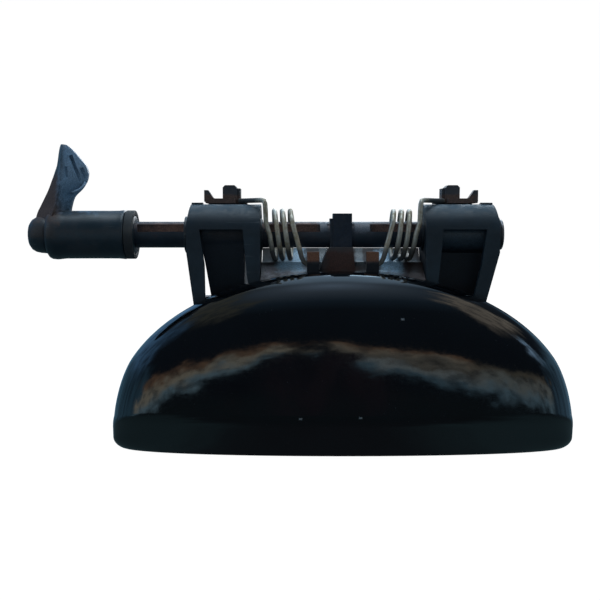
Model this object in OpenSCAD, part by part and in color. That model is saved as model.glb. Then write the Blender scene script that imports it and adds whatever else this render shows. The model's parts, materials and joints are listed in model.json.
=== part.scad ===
// Pull-flap door handle: a half-moon flap on two hollow hinge arms, a fixed
// mounting frame behind it, two return springs, and a ribbed cross shaft that
// carries a release lever at its outer end.
// X runs along the hinge axis, -Y faces the person who pulls, +Z is up.
// The origin is the middle of the face that seats on the door. Each sub-part is
// drawn about the hinge axis and then put in its place by at_hinge().

/* [Flap] */
// Width of the flap cover
flap_w = 156; // [148:1:162]
// Height of the half-moon above its widest line
dome_h = 51; // [46:1:56]
// Height of the tucked-in band below the widest line
skirt_h = 9; // [6:0.5:11]
// How far the cover bulges in front of its rim
bulge = 22; // [18:1:26]
// Wall thickness of the cover
cover_t = 2.4; // [2:0.1:3]
// Height of the flap's widest line
widest_z = -63; // [-66:0.5:-62]
// Depth of the rim plane of the cover
rim_y = -12; // [-13:0.1:-11.9]

/* [Hinge arms] */
// Distance from the middle to an arm's inner side
arm_in = 28; // [27:0.5:29]
// Distance from the middle to an arm's outer side
arm_out = 52.8; // [52:0.2:54]
// Outer radius of the arm's rolled top
roll_r = 10.5; // [10:0.1:11]
// Wall thickness of the arm
arm_t = 2.3; // [2:0.1:2.6]

/* [Shaft] */
// Diameter of the shaft's journals
journal_d = 9; // [8:0.1:9.2]
// Thickness of the shaft's web
rib_t = 2.2; // [1.8:0.1:2.6]
// Outer diameter of the bearing bush
bush_d = 10.8; // [10.6:0.1:11.4]
// Outer diameter of the lever's hub
hub_d = 17; // [15:0.5:18]

/* [Springs] */
// Wire diameter of the return springs
wire_d = 1.7; // [1.4:0.1:1.8]
// Mean radius of the coils
coil_r = 8.25; // [8:0.05:8.4]
// Distance from one turn to the next
coil_pitch = 2.75; // [2.4:0.05:2.8]

/* [Frame] */
// Thickness of the frame's rear plate
plate_t = 4; // [3:0.5:5]
// Distance between the two mounting holes
mount_pitch = 76; // [70:1:78]
// Radius of the tapped mounting holes
mount_r = 2.5; // [2:0.1:3]

/* [Hidden] */

fit = 0.03;                      // radial running clearance
eps = 0.01;

// Flap
half_w = flap_w / 2;
top_z = widest_z + dome_h;
flap_bottom = widest_z - skirt_h;
crease_z = -56.5;                // where the bulge breaks into the tucked-in band
bottom_bulge = 12.5;             // depth of the cover at its bottom edge
corner_r = 4.2;                  // radius of the lower corners
bottom_w = half_w - corner_r;    // half width at the bottom edge
dome_rows = 13;
skirt_rows = 5;
cols = 26;
boss_x = 20;
boss_z = [-31, -57];
boss_front = [-28.6, -31.9];     // where each row of bosses meets the cover's wall
boss_d = 6;
pilot_d = 3;
screw_d = 3.2;
head_d = 7;
head_h = 2.2;

// Carrier, the plate behind the cover
carrier_y = -8.2;
carrier_t = 3;
carrier_back = carrier_y + carrier_t;
carrier_in = 3.4;                // inset of the carrier inside the cover's outline
carrier_bottom = -60.5;
rim_wall_top = -37;
shoulder_z = -25.4;              // top of the plate below the arms
ledge_half = 27.8;
trough_r = 9.6;                  // clears the coils all round
trough_t = 1.5;
post_in = 8;
post_out = 12.1;
post_top = -5.7;
block_top = -5.3;
lip_top = -4.2;

// Arms
arm_front = -roll_r;
side_t = 2.4;
window_in = 5.8;                 // inner frame width beside the window
window_out = 4.4;
window_top = 1.9;
window_bottom = -24;
arm_bottom = -36;
foot_boss_z = -30.5;
foot_boss_x = [33.5, 42.5];
roll_end = 60;                   // where the rolled top ends, up from straight back
inner_r = roll_r - arm_t;

// Frame
tower_in = 33.6;
tower_top_out = 48;
tower_low_out = 45;
tower_front = -7;
tower_bottom = -22.5;
tower_r = 7.2;
tube_r = 6.4;
riser_y = 12.3;
plate_y = 14;
plate_back = plate_y + plate_t;
plate_half = 50;
plate_top = -22.5;
plate_bottom = -58;
strip_bottom = 10.95;
strip_top = 12.6;
insert_r = 4;
mount_z = -40;
stop_x = 27;
stop_z = -50;
stop_r = 4;
buffer_h = 3;

// Shaft, lever and their small parts
shaft_left = -97;
shaft_right = 54.6;
hub_left = -100.5;
hub_right = -71.5;
ring_w = 3;
spigot_r = 6.6;
rib_z = 1;                       // top of the shaft's solid lower part
flange_z = 3.6;                  // underside of its top flange
cap_left = -108.3;
cap_r = 6.2;
pin_x = -84;
pin_r = 1.5;
clip_t = 0.8;
rivet_r = 1;

// Springs
turns = 3;
coil_start = 17.9;               // distance from the middle to the innermost turn
leg_z = 11.75;
lean = 1.45;                     // sideways lean of a turn from top to bottom
ring_steps = 16;
wire_sides = 8;

// ---------- helpers ----------

// Moves a sub-part drawn about the hinge axis to its place from the door seat
module at_hinge() { translate([0, -plate_back, -mount_z]) children(); }

module mirror_left() { mirror([1, 0, 0]) children(); }

module both_sides() {
    children();
    mirror_left() children();
}

module x_rod(r, x0, x1, fn = 64) {
    translate([x0, 0, 0]) rotate([0, 90, 0]) cylinder(r = r, h = x1 - x0, $fn = fn);
}

// rod along +Y from y0 to y1 at (x, z)
module y_rod(r, x, z, y0, y1, fn = 48) {
    translate([x, y0, z]) rotate([-90, 0, 0]) cylinder(r = r, h = y1 - y0, $fn = fn);
}

// A (Y, Z) outline pushed along X from x0 to x1
module along_x(x0, x1) {
    translate([x0, 0, 0]) rotate([90, 0, 90]) linear_extrude(x1 - x0) children();
}

// An (X, Z) outline pushed along Y from y0 to y1
module along_y(y0, y1) {
    translate([0, y1, 0]) rotate([90, 0, 0]) linear_extrude(y1 - y0) children();
}

module box(lo, hi) {
    translate(lo) cube([hi[0] - lo[0], hi[1] - lo[1], hi[2] - lo[2]]);
}

// ---------- flap cover ----------

function mix(a, b, t) = a + (b - a) * t;

// Half width of the half-moon at height z, moved inwards by inset
function half_at(z, inset) =
    let (rise = (z - widest_z) / (dome_h - inset),
         into_corner = max(0, flap_bottom + corner_r - z) / corner_r)
    z > widest_z
    ? (half_w - inset) * pow(max(0, 1 - pow(rise, 2.06)), 0.487)
    : half_w - inset - corner_r * (1 - sqrt(max(0, 1 - pow(into_corner, 2))));
// Depth of the cover in front of its rim at height z
function depth_at(z, inset) =
    (z > crease_z
     ? bulge * pow(max(0, 1 - pow((z - crease_z) / (top_z - crease_z), 2.2)), 0.47)
     : mix(bulge, bottom_bulge, (crease_z - z) / (crease_z - flap_bottom))) - inset;
// Heights of the rows, close together near the top
row_heights = concat(
    [for (i = [1:dome_rows]) crease_z + (top_z - crease_z) * cos(90 * i / dome_rows)],
    [for (i = [1:skirt_rows]) mix(crease_z, flap_bottom, sqrt(i / skirt_rows))]
);
// Rows of a skin from its top to its bottom: [half width, depth, height].
// The inner skin is the outer one moved inwards by a wall's thickness.
function cover_rows(inset) = [
    for (z = row_heights)
        let (inner_z = z > crease_z
             ? mix(crease_z, top_z - inset, (z - crease_z) / (top_z - crease_z))
             : mix(crease_z, flap_bottom + inset, (crease_z - z) / (crease_z - flap_bottom)))
        [half_at(z, 0) - inset, depth_at(z, inset), inner_z]
];
function row_points(row, back) = [
    for (c = [0:cols])
        let (a = 180 * c / cols)
        [row[0] * cos(a), back - row[1] * pow(sin(a), 0.85), row[2]]
];

// Triangles of one skin of the cover: its rows, then a flat top and a flat floor.
// first is the index of the skin's first point.
function skin_faces(count, first) =
    let (n = cols + 1, floor_row = first + (count - 1) * n)
    concat(
        [for (r = [0:count - 2], c = [0:cols - 1])
            let (p = first + r * n + c)
            each [[p, p + 1, p + n + 1], [p, p + n + 1, p + n]]],
        [for (c = [1:cols - 1]) [first, first + c + 1, first + c]],
        [for (c = [1:cols - 1]) [floor_row, floor_row + c, floor_row + c + 1]]
    );
function flipped(faces) = [for (f = faces) [f[0], f[2], f[1]]];

// Strip of the rim between the same edge p-q of the outer and the inner skin
function rim_strip(p, q, shift) = [[p, q, q + shift], [p, q + shift, p + shift]];

// Open-backed shell between two skins that meet the rim plane
module cover_shell() {
    outer = cover_rows(0);
    inner = cover_rows(cover_t);
    n = cols + 1;
    count = len(outer);
    shift = count * n;
    points = concat(
        [for (row = outer) each row_points(row, rim_y)],
        [for (row = inner) each row_points(row, rim_y)]
    );
    faces = concat(
        skin_faces(count, 0),
        flipped(skin_faces(count, shift)),
        [for (r = [0:count - 2]) each rim_strip(r * n, (r + 1) * n, shift)],
        [for (r = [0:count - 2]) each rim_strip((r + 1) * n + cols, r * n + cols, shift)],
        rim_strip((count - 1) * n, (count - 1) * n + cols, shift),
        rim_strip(cols, 0, shift)
    );
    polyhedron(points, flipped(faces));
}

module flap_cover() {
    at_hinge() color([0.02, 0.025, 0.035]) {
        cover_shell();
        for (sx = [-1, 1], i = [0, 1])
            difference() {
                y_rod(boss_d / 2, sx * boss_x, boss_z[i], boss_front[i], carrier_y);
                y_rod(pilot_d / 2, sx * boss_x, boss_z[i], rim_y - 7, carrier_y + 1);
            }
    }
}

// ---------- flap carrier ----------

// Side of the half-moon between two heights, from its edge inwards to x_in
module carrier_edge(top, x_in, inset) {
    zs = [for (i = [0:8]) mix(top, carrier_bottom, i / 8)];
    polygon(concat([for (z = zs) [half_at(z, inset), z]], [[x_in, carrier_bottom], [x_in, top]]));
}

module flap_carrier() {
    at_hinge() color([0.12, 0.10, 0.10]) difference() {
        union() {
            both_sides() along_y(carrier_y, carrier_back) carrier_edge(shoulder_z, -eps, carrier_in);
            // rim wall that meets the cover beside and below the arms
            both_sides() along_y(rim_y + 0.15, carrier_y + 0.5) difference() {
                carrier_edge(rim_wall_top, 40, carrier_in - 2);
                carrier_edge(rim_wall_top + 1, 39, carrier_in + 0.6);
            }
            // ledge behind the cover's top edge, rising as a trough round the springs
            along_x(-ledge_half, ledge_half) polygon(concat(
                [[carrier_y, -17.2], [rim_y + 0.5, -17.2], [rim_y + 0.5, -15], [-8, -13.2], [-4.5, -11.9]],
                [for (a = [-100:10:-30]) trough_r * [cos(a), sin(a)]],
                [for (a = [-32:-14:-74]) (trough_r + trough_t) * [cos(a), sin(a)]],
                [[carrier_back, -17], [carrier_back, shoulder_z - eps], [carrier_y, shoulder_z - eps]]
            ));
            // spring posts
            both_sides() difference() {
                box([post_in, -10.5, -14], [post_out, -5.5, post_top]);
                box([post_out - 2.6, -9.2, -11.4], [post_out + 1, -6.8, -8.6]);
            }
            // driver block under the shaft's lug, with a lip in front of it
            along_y(-7.5, 3) polygon([[-8.4, -13.2], [-5.3, block_top], [3.6, block_top], [4.6, -13.2]]);
            along_y(-7.5, -5.4) polygon([[-5.8, -6.5], [-4.6, lip_top], [3.5, lip_top], [3.8, -6.5]]);
            // buffer seats behind the stops of the frame
            both_sides() y_rod(stop_r + 1, stop_x, stop_z, carrier_y + 1, carrier_back + 0.8);
        }
        for (sx = [-1, 1], z = boss_z) y_rod(screw_d / 2, sx * boss_x, z, carrier_y - 4, carrier_back + 1);
        for (sx = [-1, 1], x = foot_boss_x)
            y_rod(screw_d / 2, sx * x, foot_boss_z, carrier_y - 1, carrier_back + 1);
    }
}

// ---------- hinge arms ----------

// Side view of the arm's solid: a rolled top over a flat front, with a foot
// plate that lies against the carrier
module arm_side() {
    foot_top = shoulder_z + 0.4;
    circle(r = roll_r, $fn = 96);
    polygon([[arm_front, 0], [arm_front, arm_bottom], [carrier_y, arm_bottom], [carrier_y, foot_top],
             [carrier_back, foot_top], [1, -16], [roll_r, -1], [0, 0]]);
}

// Front view of the arm, narrowing towards its foot
module arm_front_view(inset, taper) {
    polygon([[arm_in + inset, roll_r + 1], [arm_out - 0.9 - inset, roll_r + 1], [arm_out - inset, 4],
             [arm_out - inset, -6], [arm_out - taper - inset, -22],
             [arm_out - taper * 1.9 - inset, arm_bottom],
             [arm_in + 0.6 + inset, arm_bottom], [arm_in + inset, -10]]);
}

// Right-hand arm; taper is how much its outer edge draws in at the cover,
// window_low the outer side of the window at its foot
module hinge_arm(taper, window_low) {
    difference() {
        union() {
            intersection() {
                along_x(arm_in - 1, arm_out + 1) arm_side();
                along_y(-30, 30) arm_front_view(0, taper);
            }
            for (x = foot_boss_x) y_rod(3.2, x, foot_boss_z, -15, arm_front + 1);
            // lip on the outer end of the rolled top
            along_x(arm_out - 4.6, arm_out - 0.9) intersection() {
                circle(r = roll_r + 0.6, $fn = 96);
                polygon([[-1.5, 9.5], [-1.5, 12], [4, 12], [4, 9]]);
            }
        }
        // hollow inside, open at the back
        intersection() {
            along_x(arm_in - 1, arm_out + 1) union() {
                circle(r = inner_r, $fn = 96);
                polygon([[arm_front + arm_t, 0], [arm_front + arm_t, -40], [20, -40], [20, 0]]);
                // back opening below the end of the rolled top
                polygon([[0, 0], [30 * cos(roll_end), 30 * sin(roll_end)], [30, 0], [20, -1], [0, -1]]);
            }
            along_y(-30, 40) arm_front_view(side_t, taper);
        }
        // window in the front
        along_y(-20, 0) polygon([
            [arm_in + window_in, window_top], [arm_out - window_out, window_top],
            [arm_out - window_out - 1.6, -10], [window_low, window_bottom],
            [arm_in + window_in - 3, window_bottom], [arm_in + window_in - 1.4, -14]
        ]);
        x_rod(bush_d / 2 + fit, arm_in - 2, arm_out + 2);
        for (x = foot_boss_x) y_rod(pilot_d / 2, x, foot_boss_z, -13.5, 0);
    }
}

module left_hinge_arm() { at_hinge() color([0.11, 0.14, 0.18]) mirror_left() hinge_arm(2.1, 46.6); }
module right_hinge_arm() { at_hinge() color([0.11, 0.14, 0.18]) hinge_arm(4.2, 43.6); }

// ---------- finger liner ----------

module finger_liner() {
    top = carrier_bottom - 0.3;
    low = flap_bottom + cover_t + 0.4;
    half = bottom_w - 8;
    at_hinge() color([0.05, 0.05, 0.06]) {
        along_y(carrier_y - 1.8, carrier_y + 1.2)
            polygon([[-half - 2, top], [half + 2, top], [half, low + 2], [half - 3, low], [-half + 3, low],
                     [-half, low + 2]]);
        // grip ribs
        for (i = [0:3])
            box([8 - half, carrier_y + 1, top - 1.9 - i * 2],
                [half - 8, carrier_y + 1.8, top - 0.9 - i * 2]);
    }
}

// ---------- screws of the flap ----------

module flap_screw(x, z, length) {
    difference() {
        union() {
            y_rod(head_d / 2, x, z, carrier_back, carrier_back + head_h);
            y_rod(pilot_d / 2 - fit, x, z, carrier_back - length, carrier_back + 0.5);
        }
        for (a = [0, 90])
            translate([x, carrier_back + head_h, z]) rotate([0, a, 0]) cube([4, 2.4, 0.9], center = true);
    }
}

module cover_screws() {
    at_hinge() color("silver") for (sx = [-1, 1], z = boss_z) flap_screw(sx * boss_x, z, 9);
}

module arm_screws() {
    at_hinge() color("silver") for (sx = [-1, 1], x = foot_boss_x) flap_screw(sx * x, foot_boss_z, 7.5);
}

// ---------- mounting frame ----------

module panel_side() {
    circle(r = tower_r, $fn = 96);
    polygon([[tower_front, 0], [tower_front, window_top + 0.1], [0, window_top + 0.1], [0, 3],
             [riser_y + 0.5, 3], [riser_y + 0.5, tower_bottom], [-3.2, tower_bottom]]);
}

// Side view of the tower whose bearing tube stands free of a set-back web
module tube_side() {
    circle(r = tube_r, $fn = 96);
    polygon([[-1.5, 0], [0, 3], [riser_y + 0.5, 3], [riser_y + 0.5, tower_bottom], [-1.5, tower_bottom]]);
}

// Right-hand tower with its prongs; side_out is how far it reaches outwards at its
// top, at mid height and at its foot, and the children are its side view
module tower(side_out) {
    difference() {
        intersection() {
            along_x(tower_in, side_out[0]) children();
            along_y(-20, 30)
                polygon([[tower_in, 12], [side_out[0], 12], [side_out[0], -4], [side_out[1], -9.5],
                         [side_out[2], tower_bottom], [tower_in, tower_bottom]]);
        }
        // hollow back, so that the walls stay thin
        box([tower_in + 3, 2.5, -30], [tower_low_out - 3, riser_y + 0.2, -9]);
    }
    // riser behind the rolled top
    along_y(riser_y, riser_y + 3.7)
        polygon([[tower_in, strip_top], [47.5, strip_top], [47.5, 0], [tower_low_out, tower_bottom - 2],
                 [tower_in, tower_bottom - 2]]);
    // strip over the rolled top, with a notch for the spring's tail
    difference() {
        box([tower_in, 2, strip_bottom], [47.5, riser_y + 1, strip_top]);
        box([tower_in - 1, 1, strip_bottom - 1], [37.2, 4.6, strip_top + 1]);
    }
    // block prong with its chamfered top and thin inner rib
    along_y(4.8, 12) polygon([[36.7, strip_top - 1], [36.7, 16.4], [37.6, 17.3], [40.9, 17.3], [41.7, 16.5],
                              [41.7, strip_top - 1]]);
    box([35.6, 6, strip_top - 1], [36.8, 12, 16.2]);
    // fin prong with a straight outer side
    along_y(5.5, 8.5) polygon([[43, strip_top - 1], [45.2, strip_top + 0.4], [46.9, 15.6],
                               [48.3, 15.6], [48.3, 11.6], [47, strip_bottom]]);
}

module mounting_frame() {
    at_hinge() color([0.16, 0.11, 0.09]) difference() {
        union() {
            mirror_left() tower([tower_top_out, 47, tower_low_out]) panel_side();
            tower([tower_top_out + 1.1, 48.8, tower_low_out + 0.7]) tube_side();
            difference() {
                box([-plate_half, plate_y, plate_bottom], [plate_half, plate_back, plate_top]);
                both_sides() translate([plate_half, 0, plate_bottom]) rotate([0, 45, 0])
                    cube([14, 60, 14], center = true);
            }
            // side flanges stiffen the plate
            both_sides()
                box([plate_half - 3, riser_y - 2, plate_bottom + 8], [plate_half, plate_y + 1, plate_top]);
            // stop posts
            both_sides() y_rod(stop_r, stop_x, stop_z, -1.2, plate_y + 1);
            // mounting bosses
            both_sides() y_rod(insert_r + 2, mount_pitch / 2, mount_z, plate_y - 6, plate_y + 1);
        }
        both_sides() x_rod(bush_d / 2, tower_in - 1, tower_top_out + 2);
        both_sides() y_rod(insert_r, mount_pitch / 2, mount_z, plate_y - 4, plate_back + 1);
        both_sides() y_rod(stop_r - 1.5, stop_x, stop_z, -2, 2);
        // groove for the gasket
        difference() {
            box([-46, plate_back - 1, -53], [46, plate_back + 1, -27.5]);
            box([-42.8, plate_back - 3, -49.8], [42.8, plate_back + 3, -30.7]);
        }
    }
}

// ---------- small parts on the frame ----------

module bearing_bush() {
    difference() {
        union() {
            x_rod(bush_d / 2, arm_in - 0.6, arm_out + 0.3);
            x_rod(bush_d / 2 + 0.9, arm_out + 0.3, arm_out + 1.4);
        }
        x_rod(journal_d / 2 + fit, 0, 80);
    }
}

module left_bearing_bush() { at_hinge() color([0.30, 0.32, 0.35]) mirror_left() bearing_bush(); }
module right_bearing_bush() { at_hinge() color([0.30, 0.32, 0.35]) bearing_bush(); }

module threaded_inserts() {
    at_hinge() color("goldenrod") both_sides() difference() {
        y_rod(insert_r, mount_pitch / 2, mount_z, plate_y - 4, plate_back);
        y_rod(mount_r, mount_pitch / 2, mount_z, plate_y - 5, plate_back + 1);
    }
}

module frame_gasket() {
    at_hinge() color([0.08, 0.08, 0.08]) difference() {
        box([-45.8, plate_back - 1, -52.8], [45.8, plate_back, -27.7]);
        box([-43, plate_back - 3, -50], [43, plate_back + 3, -30.5]);
    }
}

module stop_buffers() {
    at_hinge() color([0.05, 0.05, 0.05]) both_sides() {
        y_rod(stop_r - 1.5 - fit, stop_x, stop_z, -1.3, 1.9);
        y_rod(stop_r, stop_x, stop_z, -1.2 - buffer_h, -1.2);
    }
}

// ---------- return springs ----------

// Centre line of the right-hand spring, from its tail in the frame's notch to
// its foot in the carrier's post. Turns are numbered outwards from the middle.
function coil_point(a) = [
    coil_start + coil_pitch * (turns * 360 - a) / 360 - lean * (1 - cos(a)) / 2,
    -coil_r * sin(a),
    coil_r * cos(a)
];
coil_path = concat(
    [[35.6, 3.2, leg_z], [31, -2.2, leg_z], [26.9, -7.2, leg_z], [26.3, -coil_r, leg_z - 1]],
    [[26.0, -coil_r, 6]],
    [for (i = [4:turns * ring_steps + 3]) coil_point(360 * i / ring_steps)],
    [[13.6, -coil_r, -8.6], [12.6, -8.1, -10], [10.6, -8, -10]]
);

function unit(v) = v / norm(v);
function tangent(path, i) = unit(path[min(i + 1, len(path) - 1)] - path[max(i - 1, 0)]);
// A steady side direction: never along the wire, because the wire winds about X
function side_dir(t) = unit(cross(t, abs(t[0]) > 0.8 ? [0, 0, 1] : [1, 0, 0]));
function wire_ring(p, t) =
    let (u = side_dir(t), w = cross(t, u))
    [for (k = [0:wire_sides - 1])
        let (a = 360 * k / wire_sides)
        p + wire_d / 2 * (u * cos(a) + w * sin(a))];

module swept_wire(path) {
    n = wire_sides;
    last = len(path) - 1;
    points = [for (i = [0:last]) each wire_ring(path[i], tangent(path, i))];
    faces = concat(
        [for (i = [0:last - 1], k = [0:n - 1])
            each [[i * n + k, (i + 1) * n + (k + 1) % n, i * n + (k + 1) % n],
                  [i * n + k, (i + 1) * n + k, (i + 1) * n + (k + 1) % n]]],
        [[for (k = [0:n - 1]) k]],
        [[for (k = [n - 1:-1:0]) last * n + k]]
    );
    polyhedron(points, faces);
}

module right_return_spring() { at_hinge() color([0.55, 0.53, 0.45]) swept_wire(coil_path); }
module left_return_spring() { at_hinge() color([0.55, 0.53, 0.45]) mirror_left() swept_wire(coil_path); }

// ---------- shaft ----------

// Round bar with a channel along each side, left between a web's top flange and
// the solid lower part
module ribbed(x0, x1) {
    r = journal_d / 2;
    difference() {
        x_rod(r, x0, x1);
        for (sy = [-1, 1])
            translate([0, sy * (r + rib_t / 2), 0]) box([x0 - 1, -r, rib_z], [x1 + 1, r, flange_z]);
    }
}

module drive_shaft() {
    r = journal_d / 2;
    at_hinge() color([0.13, 0.10, 0.10]) difference() {
        union() {
            ribbed(-72, 52);
            x_rod(r, shaft_left, -70.5);
            both_sides() x_rod(r, arm_in - 1.5, 53.4);
            x_rod(r, 53, shaft_right);
            // rivet that holds the end clip
            x_rod(rivet_r, shaft_right - 1, shaft_right + clip_t);
            // collars and the lug in the middle
            x_rod(r, -7.6, -5.2);
            x_rod(r, 4.2, 9.5);
            x_rod(r - 0.3, -5.3, 4.3);
            box([-3.1, -4.9, -4.7], [3.3, 4.9, 7.3]);
            box([-4.2, -4.4, -4.4], [-3, 4.4, 5.6]);
        }
        // cross hole of the lever's pin
        y_rod(pin_r, pin_x, 0, -10, 10);
    }
}

// ---------- lever ----------

// One cross cut of the blade at height z: front ridge, back edge and left edge
module blade_cut(z, ridge_x, left_x, back_y, front_y, right_x) {
    translate([0, 0, z]) linear_extrude(0.2)
        polygon([[ridge_x, front_y], [left_x, front_y + 4], [left_x + 1.4, back_y], [right_x, back_y],
                 [right_x, front_y + 3]]);
}

module lever_blade() {
    hull() {
        blade_cut(3, -97, -107, 5, -6, -93);
        blade_cut(15.8, -95.8, -101.8, 4.6, -4.4, -92.2);
    }
    hull() {
        blade_cut(15.8, -95.8, -101.8, 4.6, -4.4, -92.2);
        blade_cut(30.6, -95, -96.5, 3, -1, -93.8);
    }
    // ear with the rod's slot
    difference() {
        hull() {
            translate([-91, -0.8, 20.8]) rotate([0, 90, 0]) cylinder(r = 3.4, h = 3.8, $fn = 32);
            translate([-95, -2.5, 27.5]) cube([1.5, 4, 2]);
            translate([-95, -3, 12.5]) cube([2, 5, 1.5]);
        }
        translate([-90.2, -6, 20.6]) rotate([0, 14, 0]) cube([1, 8, 9], center = true);
    }
}

module release_lever() {
    at_hinge() color([0.10, 0.13, 0.17]) difference() {
        union() {
            x_rod(hub_d / 2, hub_left, hub_right - ring_w);
            x_rod(spigot_r, hub_left, hub_right);
            lever_blade();
        }
        x_rod(journal_d / 2 + fit, shaft_left - 0.5, hub_right + 1);
        x_rod(spigot_r - 2, hub_left - 12, shaft_left - 0.4);
        y_rod(pin_r, pin_x, 0, -20, 20);
    }
}

module hub_end_cap() {
    at_hinge() color([0.09, 0.11, 0.14]) {
        difference() {
            rotate([0, 90, 0]) rotate_extrude($fn = 64)
                polygon(concat(
                    [[0, cap_left]],
                    [for (i = [0:6]) [cap_r - 2.5 + 2.5 * sin(15 * i), cap_left + 2.5 - 2.5 * cos(15 * i)]],
                    [[cap_r, hub_left - 0.02], [0, hub_left - 0.02]]
                ));
            // the cap is shaped around the root of the blade
            box([-110, -10, 3], [-99, 10, 40]);
        }
        x_rod(spigot_r - 2 - fit, hub_left - 0.5, shaft_left - 0.6);
    }
}

module hub_retaining_ring() {
    at_hinge() color([0.28, 0.26, 0.25]) difference() {
        x_rod(hub_d / 2 - 0.1, hub_right - ring_w + 0.05, hub_right);
        x_rod(spigot_r + fit, hub_right - ring_w - 1, hub_right + 1);
    }
}

module lever_pin() {
    at_hinge() color("silver") y_rod(pin_r - fit, pin_x, 0, -hub_d / 2 + 0.6, hub_d / 2 - 0.6, 32);
}

module shaft_end_clip() {
    at_hinge() color([0.35, 0.35, 0.36]) difference() {
        x_rod(5.2, shaft_right, shaft_right + clip_t);
        x_rod(rivet_r + fit, 0, 80);
    }
}

module thrust_washer() {
    difference() {
        x_rod(6.4, 31.2, 32);
        x_rod(bush_d / 2 + fit, 0, 80);
    }
}

module left_thrust_washer() { at_hinge() color([0.6, 0.58, 0.5]) mirror_left() thrust_washer(); }
module right_thrust_washer() { at_hinge() color([0.6, 0.58, 0.5]) thrust_washer(); }

flap_cover();
flap_carrier();
left_hinge_arm();
right_hinge_arm();
finger_liner();
cover_screws();
arm_screws();
mounting_frame();
left_bearing_bush();
right_bearing_bush();
left_return_spring();
right_return_spring();
threaded_inserts();
frame_gasket();
stop_buffers();
drive_shaft();
release_lever();
hub_end_cap();
hub_retaining_ring();
lever_pin();
shaft_end_clip();
left_thrust_washer();
right_thrust_washer();
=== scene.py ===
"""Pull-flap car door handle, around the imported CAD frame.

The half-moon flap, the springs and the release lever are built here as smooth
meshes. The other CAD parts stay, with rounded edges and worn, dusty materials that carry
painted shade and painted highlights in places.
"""
import json
import math

import bmesh
import bpy
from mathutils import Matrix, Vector


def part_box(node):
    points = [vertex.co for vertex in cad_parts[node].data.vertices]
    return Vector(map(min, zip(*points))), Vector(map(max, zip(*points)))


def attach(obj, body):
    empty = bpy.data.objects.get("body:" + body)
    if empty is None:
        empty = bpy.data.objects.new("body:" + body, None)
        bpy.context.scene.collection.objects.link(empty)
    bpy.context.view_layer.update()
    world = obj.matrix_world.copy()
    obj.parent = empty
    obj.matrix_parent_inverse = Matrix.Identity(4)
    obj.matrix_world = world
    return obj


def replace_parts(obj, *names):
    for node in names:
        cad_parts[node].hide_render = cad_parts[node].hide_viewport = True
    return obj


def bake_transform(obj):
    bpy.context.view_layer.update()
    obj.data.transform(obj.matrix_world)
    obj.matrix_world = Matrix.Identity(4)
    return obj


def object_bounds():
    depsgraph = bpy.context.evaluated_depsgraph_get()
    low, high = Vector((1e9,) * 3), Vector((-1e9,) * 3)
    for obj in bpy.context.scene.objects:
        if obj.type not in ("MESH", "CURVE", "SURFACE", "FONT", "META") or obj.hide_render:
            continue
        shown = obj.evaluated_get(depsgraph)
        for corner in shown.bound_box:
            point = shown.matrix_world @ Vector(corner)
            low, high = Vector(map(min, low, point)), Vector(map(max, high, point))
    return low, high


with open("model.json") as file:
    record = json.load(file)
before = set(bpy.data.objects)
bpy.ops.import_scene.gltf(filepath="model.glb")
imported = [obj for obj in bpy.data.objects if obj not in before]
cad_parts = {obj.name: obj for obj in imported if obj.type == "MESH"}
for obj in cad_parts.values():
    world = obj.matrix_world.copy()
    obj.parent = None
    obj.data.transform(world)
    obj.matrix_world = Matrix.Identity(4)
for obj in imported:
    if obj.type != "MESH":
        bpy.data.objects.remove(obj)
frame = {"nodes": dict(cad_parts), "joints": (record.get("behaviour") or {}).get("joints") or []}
CAD_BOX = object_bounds()
NODES = frame["nodes"]
MM = 0.001
HINGE = Vector(frame["joints"][0]["pos_m"])
bpy.context.scene.view_settings.view_transform = "Standard"


def at(x, y, z):
    """Millimetres about the hinge axis to metres in the row frame."""
    return HINGE + Vector((x, y, z)) * MM


# ---------------------------------------------------------------- camera, stage, light

VIEW_ELEVATION = math.radians(5)
VIEW_DISTANCE = 310
VIEW_TARGET = (-14.5, 0, -22.8)
VIEW_LENS = 53.16
FLOOR_Z = CAD_BOX[0][2]


def make_camera():
    data = bpy.data.cameras.new("camera")
    data.lens = VIEW_LENS
    data.clip_start = 0.01
    camera = bpy.data.objects.new("camera", data)
    bpy.context.scene.collection.objects.link(camera)
    back = Vector((0, -math.cos(VIEW_ELEVATION), math.sin(VIEW_ELEVATION)))
    camera.location = at(*VIEW_TARGET) + back * VIEW_DISTANCE * MM
    camera.rotation_euler = (math.pi / 2 - VIEW_ELEVATION, 0, 0)
    bpy.context.scene.camera = camera


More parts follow.
